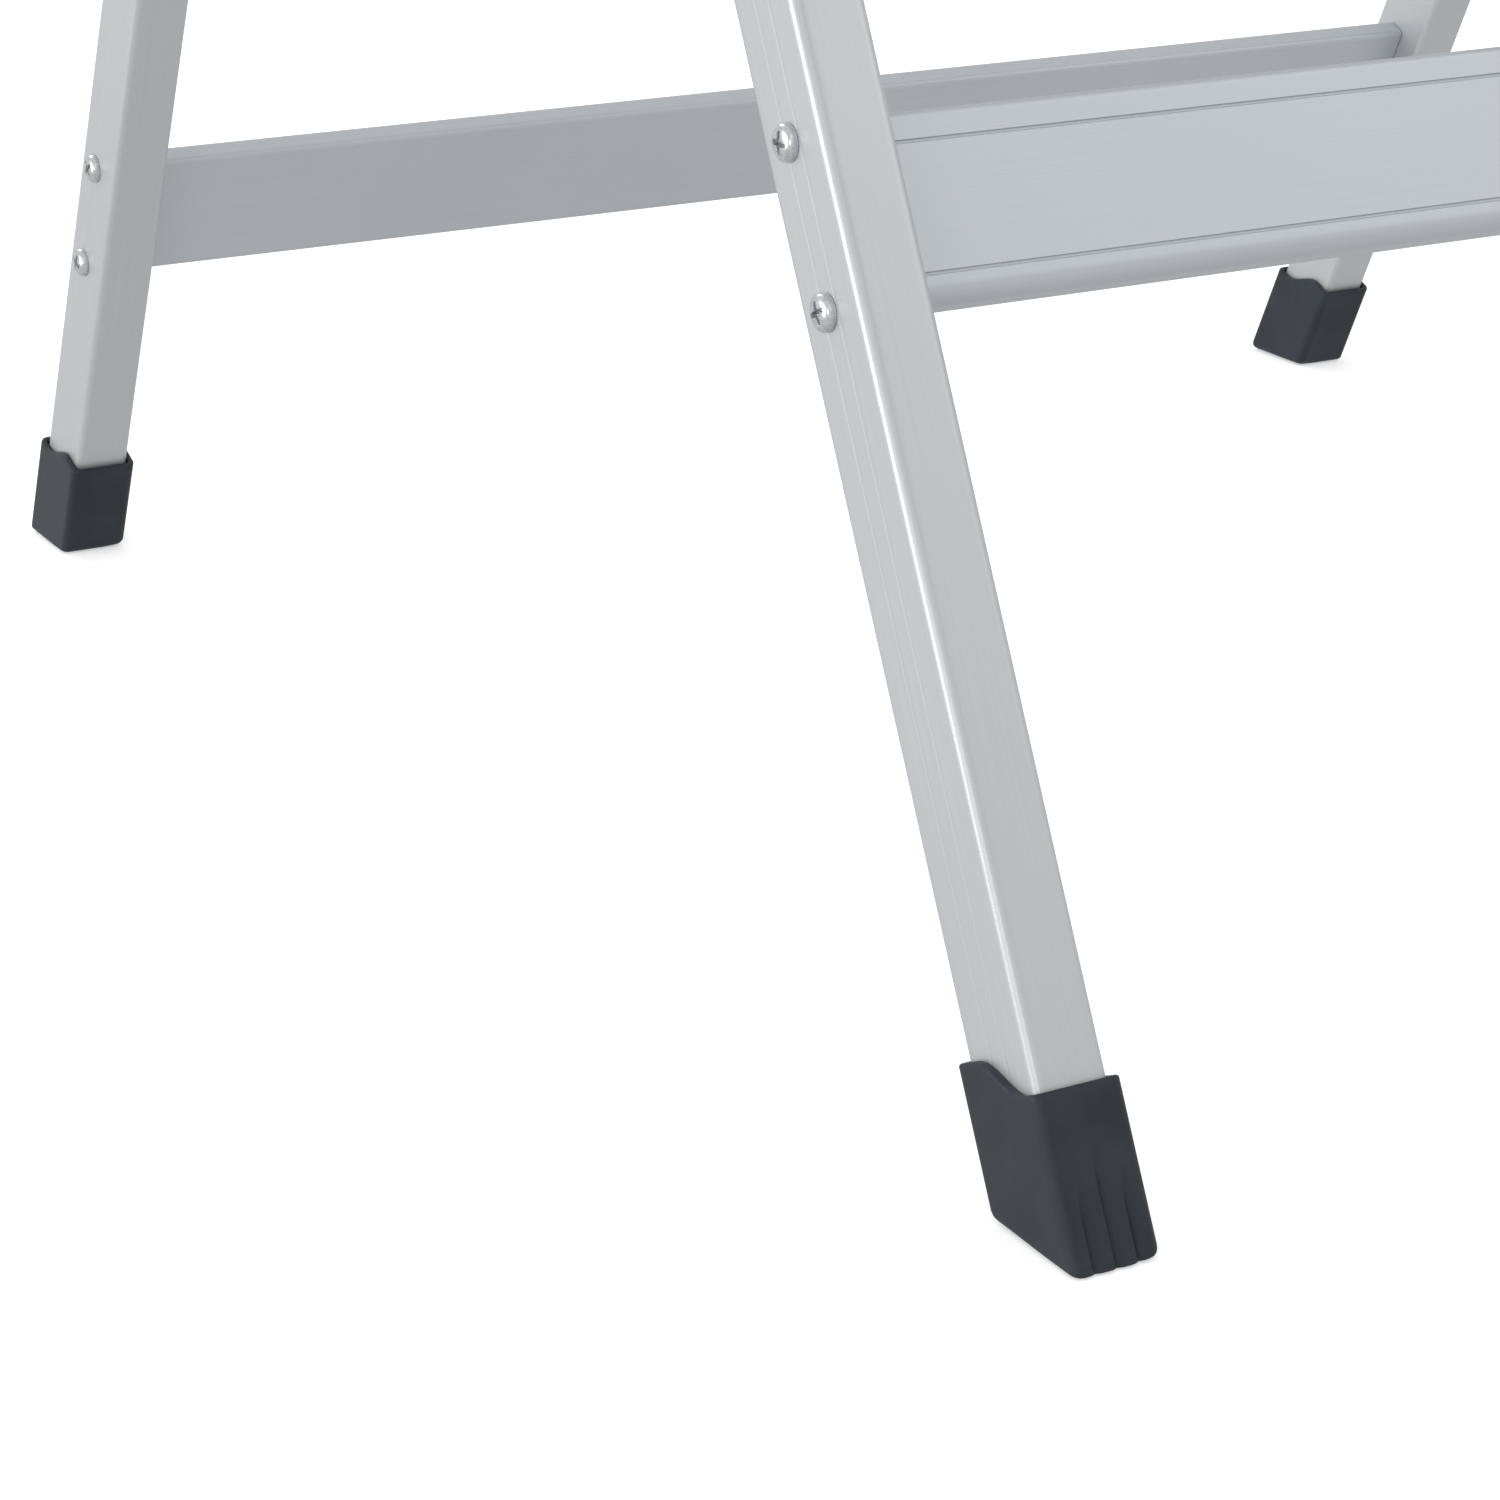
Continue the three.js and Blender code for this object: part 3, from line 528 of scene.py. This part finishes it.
def build_foot(name, stile, where, body):
    """Rings of the outline, moved inward by inset and set at a height, from the sole to the socket."""
    low, high = corners(stile)
    inside = -STILE_DEPTH if where is rear else 0.0
    x0, x1 = low[0] - FOOT_WALL, high[0] + FOOT_WALL
    y0, y1 = inside - FOOT_WALL, inside + STILE_DEPTH + FOOT_WALL
    outline = resample(section(x0, y0, x1, y1, FOOT_CORNER), FOOT_POINTS)
    inward = inner_section(outline, 1.0) - outline
    centre = np.array([(x0 + x1) / 2, (y0 + y1) / 2])
    across = (outline[:, 0] - centre[0]) / (x1 - centre[0])
    rearward = (outline[:, 1] - y0) / (y1 - y0)
    inboard = across if centre[0] < 0 else -across
    rim = rim_height(outline[:, 1] if where is front else -outline[:, 1])
    roll = SOLE_ROLL + HEEL_ROLL * smooth(rearward) ** 1.5 + INBOARD_ROLL * smooth(inboard - 0.2)
    outward = 1 - 2 * rearward if where is front else 2 * rearward - 1
    on_end = smooth((outward - 0.9) / 0.08)

    def ring(inset, height):
        line = outline + inward * np.broadcast_to(inset, len(outline))[:, None]
        return np.column_stack([line, height])

    def floor_line(line):
        return line[:, 1] * math.tan(where["lean"])

    edge = outline + inward * roll[:, None]
    rows = []
    for share in (0.0, 0.3, 0.6, 0.85, 1.0):
        line = centre + (edge - centre) * share
        rows.append(np.column_stack([line, floor_line(line)]))
    for angle in np.linspace(0, math.pi / 2, 7)[1:]:
        cut = FLUTE_DEPTH * flute_pattern(across, 0.0) * on_end * math.sin(angle)
        inset = roll * (1 - math.sin(angle)) + cut
        line = outline + inward * inset[:, None]
        rows.append(np.column_stack([line, floor_line(line) + roll * (1 - math.cos(angle))]))
    start = floor_line(outline) + roll
    wall_top = rim - LIP[0][1] * MM
    for share in np.linspace(0, 1, WALL_ROWS)[1:-1]:
        cut = FLUTE_DEPTH * flute_pattern(across, share) * on_end
        rows.append(ring(cut, start + (wall_top - start) * share))
    for inset, drop in LIP:
        rows.append(ring(inset * MM, rim - drop * MM))
    rows.append(ring(LIP[-1][0] * MM, rim - SOCKET_DEPTH))
    middle = np.append(centre, FOOT_HEIGHT - SOCKET_DEPTH)
    rows.append(np.tile(middle, (len(outline), 1)))
    points = np.stack(rows)
    piece = make_piece(name + "_boot", place(points, where), grid_faces(*points.shape[:2]), None, 50)
    finish_piece(piece, slate, body, [name])


for label in SIDES:
    build_foot("foot_front_" + label, "stile_front_" + label, front, "front_frame")
    build_foot("foot_rear_" + label, "stile_rear_" + label, rear, "rear_frame")
print("feet moulded:", 4)

# %% [markdown]
# ## Screws
#
# Each end of a bar is held by two pan head screws with a cross recess. The head is a turned dome,
# so it is drawn on a polar grid, and the recess is a depth taken off the same grid: a point sinks
# where it is near either arm of the cross, and more so near the middle. Cutting the cross with a
# boolean would leave long thin faces on the dome.

# %% Screws
HEAD_HEIGHT = 3.6 * MM
HEAD_POINTS = 96
ARM_HALF_WIDTH = 0.95 * MM
ARM_REACH = 3.7 * MM


def angles_round(columns):
    """The columns' angles, evenly spaced round a full turn."""
    return np.linspace(0, 2 * math.pi, columns, endpoint=False)


def ring_grid(axial, radius, columns, side, centre, turn=0.0):
    """A turned surface about X: (side * axial, cy + r cos a, cz + r sin a), started at the turn."""
    angle = angles_round(columns) + turn
    shape = (axial.shape[0], columns)
    axial = np.broadcast_to(axial, shape)
    radius = np.broadcast_to(radius, shape)
    y = centre[0] + radius * np.cos(angle)
    z = centre[1] + radius * np.sin(angle)
    return np.stack([side * axial, y, z], axis=-1)


def pan_head(head_r):
    """Height of the head above its seat, by radius and angle: a flat dome less the cross recess."""
    radius = np.concatenate([np.linspace(0, 0.7, 24), np.linspace(0.7, 1.0, 9)[1:]]) * head_r
    dome = HEAD_HEIGHT * (0.30 + 0.70 * (1 - (radius / head_r) ** 3.2) ** 0.5)
    r, a = np.meshgrid(radius, angles_round(HEAD_POINTS), indexing="ij")
    off_arm = np.minimum(np.abs(r * np.sin(a)), np.abs(r * np.cos(a)))
    half_width = ARM_HALF_WIDTH - 0.1 * r
    beside = smooth((half_width - off_arm) / (0.3 * MM) + 0.5)
    inside = beside * smooth((ARM_REACH - r) / (0.5 * MM))
    depth = 0.78 * HEAD_HEIGHT * inside * (1 - 0.35 * r / head_r)
    return radius[:, None], dome[:, None] - depth


def build_screw(name, body, turn):
    """A cross recessed pan head on a plain shank, its axis along X, at its node's place.

    The shank's rows are (distance out, share of the head's radius), down to a short point.
    """
    low, high = corners(name)
    side, inner, outer = reach(low, high)
    head_r = (high[2] - low[2]) / 2
    seat = outer - HEAD_HEIGHT
    radius, height = pan_head(head_r)
    shank = np.array([[seat, 1.0], [seat, 0.42], [inner + 2 * MM, 0.42], [inner, 0.1], [inner, 0.0]])
    axial = np.concatenate([seat + height, np.repeat(shank[:, :1], HEAD_POINTS, axis=1)])
    radii = np.concatenate([radius, shank[:, 1:] * head_r])
    points = ring_grid(axial, radii, HEAD_POINTS, side, (low[1:] + high[1:]) / 2, turn)
    piece = make_piece(name + "_turned", points, grid_faces(*points.shape[:2]), None, 35)
    finish_piece(piece, zinc, body, [name])


screws = [n for n in sorted(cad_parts) if n.startswith(("screw_front", "screw_rear"))]
for index, name in enumerate(screws):
    owner = "front_frame" if "front" in name else "rear_frame"
    build_screw(name, owner, 1.1 * index)
print("screws turned:", len(screws))

# %% [markdown]
# ## Rivets, studs and hinge bolts
#
# A rivet is a turned piece with a domed head on each side of what it holds. A hinge bolt has a
# six-sided head over a washer, and a six-sided nut inside. The hexagon is a radius that grows
# from the flat to the corner as 1 / cos of the angle from the flat's middle.

# %% Rivets and bolts
RIVET_HEAD = 1.6 * MM
RIVET_SHANK = 3 * MM
RIVET_POINTS = 40
HEX_HALF_FLAT = 7.2 * MM
BOLT_HEAD = 5 * MM
BOLT_SHANK = 5 * MM
BOLT_POINTS = 72
WASHER_RADIUS = 9 * MM


def dome_rows(seat, head_r, head_h, outward):
    """Rows of a domed head from its pole to its seat: height = head_h * sqrt(1 - (r / head_r)^2)."""
    share = np.sin(np.linspace(0, math.pi / 2, 9))
    height = head_h * np.sqrt(1 - share**2)
    rows = np.column_stack([seat + outward * height, share * head_r])
    return rows if outward > 0 else rows[::-1]


def build_rivet(name, body):
    """Two domed heads joined by a shank, at the node's own reach."""
    low, high = corners(name)
    side, inner, outer = reach(low, high)
    head_r = (high[2] - low[2]) / 2
    top, tail = outer - RIVET_HEAD, inner + RIVET_HEAD
    rows = np.concatenate([
        dome_rows(top, head_r, RIVET_HEAD, 1),
        [[top, RIVET_SHANK], [tail, RIVET_SHANK]],
        dome_rows(tail, head_r, RIVET_HEAD, -1),
    ])
    centre = (low[1:] + high[1:]) / 2
    points = ring_grid(rows[:, :1], rows[:, 1:], RIVET_POINTS, side, centre)
    piece = make_piece(name + "_turned", points, grid_faces(*points.shape[:2]), None, 35)
    finish_piece(piece, zinc, body, [name])


def build_bolt(name, body):
    """A hexagon head and nut, each with a chamfer and a washer, on one plain shank."""
    low, high = corners(name)
    side, inner, outer = reach(low, high)
    off_flat = (angles_round(BOLT_POINTS) + math.pi / 6) % (math.pi / 3) - math.pi / 6
    hexagon = HEX_HALF_FLAT / np.cos(off_flat)
    ring = np.ones(BOLT_POINTS)

    def cap(base, outward):
        """Heights and radii of a head, from its middle over the chamfer and hexagon to the washer."""
        rows = [
            (BOLT_HEAD, 0.0 * ring),
            (BOLT_HEAD, 0.86 * HEX_HALF_FLAT * ring),
            (4.85 * MM, 0.93 * HEX_HALF_FLAT * ring),
            (4.4 * MM, hexagon - 0.1 * MM),
            (4.1 * MM, hexagon),
            (1.3 * MM, hexagon),
            (1.3 * MM, (WASHER_RADIUS - 0.1 * MM) * ring),
            (1.15 * MM, WASHER_RADIUS * ring),
            (0.1 * MM, WASHER_RADIUS * ring),
        ]
        rows = rows if outward > 0 else rows[::-1]
        axial = np.array([base + outward * height for height, _ in rows])
        return axial, np.stack([radius for _, radius in rows])

    head_axial, head_radius = cap(outer - BOLT_HEAD, 1)
    nut_axial, nut_radius = cap(inner + BOLT_HEAD, -1)
    shank_axial = np.array([head_axial[-1], nut_axial[0]])
    shank_radius = np.full((2, BOLT_POINTS), BOLT_SHANK)
    axial = np.concatenate([head_axial, shank_axial, nut_axial])[:, None]
    radii = np.concatenate([head_radius, shank_radius, nut_radius])
    points = ring_grid(axial, radii, BOLT_POINTS, side, (low[1:] + high[1:]) / 2)
    piece = make_piece(name + "_turned", points, grid_faces(*points.shape[:2]), None, 30)
    finish_piece(piece, zinc, body, [name])


for label in SIDES:
    build_bolt("hinge_bolt_" + label, "front_frame")
    build_rivet("plate_rivet_%s_1" % label, "front_frame")
    build_rivet("plate_rivet_%s_2" % label, "front_frame")
print("rivets and bolts turned")

# %% [markdown]
# ## Platform and its end caps
#
# The platform is a wide hollow extrusion with close ribs on top for grip. Each end is closed by a
# moulded cap with a rounded edge and a slightly dished face.

# %% Platform
PLATFORM_WALL = 2.2 * MM
RIB_PITCH = 8.5 * MM
RIB_MARGIN = 10 * MM
RIB_CUT = (1.5 * MM, 3.6 * MM)
EDGE_LINE_MARGIN = 10 * MM
EDGE_LINE_CUT = (0.8 * MM, 1.6 * MM)
CAP_POINTS = 180
CAP_ROUND = 1.6 * MM
CAP_BEVEL = 0.4 * MM
CAP_DISH = 0.7 * MM


def build_platform():
    """Carry the ribbed outline across: y from front to rear, z up; the ribs are cuts in the top."""
    low, high = corners("platform")
    count = int((high[1] - low[1] - 2 * RIB_MARGIN) / RIB_PITCH)
    centre = (low[1] + high[1]) / 2
    places = centre + (np.arange(count) - (count - 1) / 2) * RIB_PITCH
    cuts = [(place_y, *RIB_CUT) for place_y in places]
    heights = (high[2] - EDGE_LINE_MARGIN, low[2] + EDGE_LINE_MARGIN)
    edge = [(height, *EDGE_LINE_CUT) for height in heights]
    box = (low[1], low[2], high[1], high[2])
    outline = section(*box, PLATFORM_CORNER, top=cuts, left=edge, right=edge)
    points, uv = tube(outline, PLATFORM_WALL, low[0], high[0])
    points = points[..., [2, 0, 1]]
    piece = make_piece("platform_drawn", points, grid_faces(*points.shape[:2], True), uv)
    finish_piece(piece, bar_metal, "front_frame", ["platform"])


def build_cap(name):
    """Rings of a slab: from the hidden face's middle, round the edge, to the dished face's middle."""
    low, high = corners(name)
    side, near, far = reach(low, high)
    outline = section(low[1], low[2], high[1], high[2], PLATFORM_CORNER)
    outline = resample(outline, CAP_POINTS)
    centre = outline.mean(axis=0)
    inward = inner_section(outline, 1.0) - outline
    rows = [(CAP_BEVEL, near), (0.0, near + CAP_BEVEL)]
    for angle in np.linspace(0, math.pi / 2, 6):
        inset, drop = CAP_ROUND * (1 - math.cos(angle)), CAP_ROUND * (1 - math.sin(angle))
        rows.append((inset, far - drop))
    rows += [(4.0 * MM, far), (4.6 * MM, far - 0.5 * MM), (5.4 * MM, far - CAP_DISH)]

    def flat_ring(x, line):
        return np.column_stack([np.full(len(line), side * x), line])

    to_centre = np.tile(centre, (len(outline), 1))
    rings = [flat_ring(x, outline + inward * inset) for inset, x in rows]
    points = np.stack([flat_ring(near, to_centre), *rings, flat_ring(far - CAP_DISH, to_centre)])
    piece = make_piece(name + "_moulded", points, grid_faces(*points.shape[:2]), None, 45)
    finish_piece(piece, slate, "front_frame", [name])


build_platform()
for label in SIDES:
    build_cap("platform_cap_" + label)
print("platform and caps made")

# %% [markdown]
# ## Plates, stays and plugs
#
# The hinge plates and hook stays are pressed from sheet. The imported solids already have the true
# outline and holes, so a copy is merged, its flat faces are joined and its edges are rounded with
# a bevel of half a millimetre, as tumbling does. The rear stiles' top plugs, the stays' pins and
# studs and the platform's screws get the same.

# %% Softened copies
PLATE_EDGE = 0.5 * MM
PLUG_EDGE = 0.6 * MM
PIN_EDGE = 0.3 * MM


def soften(name, material, body, width):
    """Copy a node's mesh, merge and join its flat faces, then round the edges with a bevel."""
    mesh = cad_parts[name].data.copy()
    mesh.name = name + "_soft"
    work = bmesh.new()
    work.from_mesh(mesh)
    bmesh.ops.remove_doubles(work, verts=work.verts, dist=1e-6)
    bmesh.ops.dissolve_limit(work, angle_limit=math.radians(0.5), verts=work.verts, edges=work.edges)
    work.to_mesh(mesh)
    work.free()
    mesh.shade_smooth()
    piece = bpy.data.objects.new(name + "_soft", mesh)
    bpy.context.scene.collection.objects.link(piece)
    bevel = piece.modifiers.new("edge", "BEVEL")
    bevel.width = width
    bevel.segments = 3
    bevel.limit_method = "ANGLE"
    bevel.angle_limit = math.radians(35)
    bevel.harden_normals = True
    finish_piece(piece, material, body, [name])


for label in SIDES:
    soften("hinge_plate_inner_" + label, plate_metal, "front_frame", PLATE_EDGE)
    soften("hinge_plate_outer_" + label, plate_metal, "front_frame", PLATE_EDGE)
    soften("stay_" + label, plate_metal, "stay_" + label, PLATE_EDGE)
    soften("plug_rear_" + label, slate, "rear_frame", PLUG_EDGE)
for name in [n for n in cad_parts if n.startswith(("platform_screw", "stay_rivet"))]:
    soften(name, zinc, "front_frame", PIN_EDGE)
for label in SIDES:
    soften("stay_stud_" + label, zinc, "rear_frame", PIN_EDGE)
print("plates, stays, plugs and flange screws softened")

# %% [markdown]
# ## Camera, light and floor
#
# The camera stands low and to the left, close to the near leg, and looks down across the width.
# A large plain floor and a surround that is a little paler above than below give soft catalogue
# light. Five lamps shape the metal: a faint one over the camera, a small one that draws a bright
# line on the near corners, a large one low on the left, one from the right and one from behind.
# The floor glows a little, so that it reads as white. It is left out of the metal's reflections
# and lights nothing around it, so it can be white without washing out the sides of the legs.

# %% Camera and light
CAMERA_LEFT = 0.9469
CAMERA_BACK = 0.8323
CAMERA_UP = 0.5249
CAMERA_TURN = math.radians(29.7)
CAMERA_TILT = math.radians(19.8)
FLOOR_HALF = 60.0
FLOOR_DROP = 0.5 * MM
TONE_BELOW = 0.71
TONE_ABOVE = 0.88

camera_data = bpy.data.cameras.new("camera")
camera_data.sensor_width = 36.0
camera_data.lens = 94.5
camera = bpy.data.objects.new("camera", camera_data)
bpy.context.scene.collection.objects.link(camera)
camera.location = (-CAMERA_LEFT, front_ground - CAMERA_BACK, CAMERA_UP)
camera.rotation_euler = (math.pi / 2 - CAMERA_TILT, 0.0, -CAMERA_TURN)
bpy.context.scene.camera = camera

floor_mesh = bpy.data.meshes.new("floor")
floor_signs = ((-1, -1), (1, -1), (1, 1), (-1, 1))
floor_corners = [(x * FLOOR_HALF, y * FLOOR_HALF, -FLOOR_DROP) for x, y in floor_signs]
floor_mesh.from_pydata(floor_corners, [], [(0, 1, 2, 3)])
floor = bpy.data.objects.new("floor", floor_mesh)
bpy.context.scene.collection.objects.link(floor)
floor_finish, _, floor_shader = new_material("floor", (0.93, 0.93, 0.93), 0.0, 0.9)
floor_shader.inputs["Specular IOR Level"].default_value = 0.1
floor_shader.inputs["Emission Color"].default_value = (1.0, 1.0, 1.0, 1.0)
floor_shader.inputs["Emission Strength"].default_value = 0.45
floor_mesh.materials.append(floor_finish)
floor.visible_diffuse = False
floor.visible_glossy = False

world = bpy.data.worlds.new("surround")
bpy.context.scene.world = world
world.use_nodes = True
sky = world.node_tree
direction = sky.nodes.new("ShaderNodeTexCoord")
split = sky.nodes.new("ShaderNodeSeparateXYZ")
sky.links.new(direction.outputs["Generated"], split.inputs["Vector"])
height = sky.nodes.new("ShaderNodeMapRange")
height.inputs["From Min"].default_value = -1.0
sky.links.new(split.outputs["Z"], height.inputs["Value"])
fade = sky.nodes.new("ShaderNodeValToRGB")
fade.color_ramp.elements[0].position = 0.05
fade.color_ramp.elements[0].color = (TONE_BELOW, TONE_BELOW, TONE_BELOW, 1.0)
fade.color_ramp.elements[1].position = 0.55
fade.color_ramp.elements[1].color = (TONE_ABOVE, TONE_ABOVE, TONE_ABOVE, 1.0)
sky.links.new(height.outputs["Result"], fade.inputs["Fac"])
sky.links.new(fade.outputs["Color"], sky.nodes["Background"].inputs["Color"])
sky.nodes["Background"].inputs["Strength"].default_value = 0.85


def lamp(name, place_at, aim, size, power):
    """A square area lamp at place_at, turned to face aim."""
    data = bpy.data.lights.new(name, "AREA")
    data.shape = "SQUARE"
    data.size = size
    data.energy = power
    light = bpy.data.objects.new(name, data)
    bpy.context.scene.collection.objects.link(light)
    light.location = place_at
    light.rotation_euler = (Vector(aim) - Vector(place_at)).to_track_quat("-Z", "Y").to_euler()


lamp("over_camera", (-1.6, -2.6, 2.6), (0, 0, 0.3), 1.8, 4)
lamp("near_corner", (-3.0, -1.7, 0.6), (-0.3, -0.3, 0.3), 0.7, 8)
lamp("left_side", (-3.8, 1.0, 0.4), (-0.3, 0.2, 0.1), 1.6, 60)
lamp("right_front", (2.0, -2.2, 2.3), (0.2, -0.2, 0.4), 1.2, 8)
lamp("behind", (-0.6, 2.8, 2.4), (0, 0, 0.4), 1.8, 18)
bpy.context.scene.view_settings.view_transform = "Standard"
print("camera, floor and five lamps set")

# %% Update the view layer
bpy.context.view_layer.update()
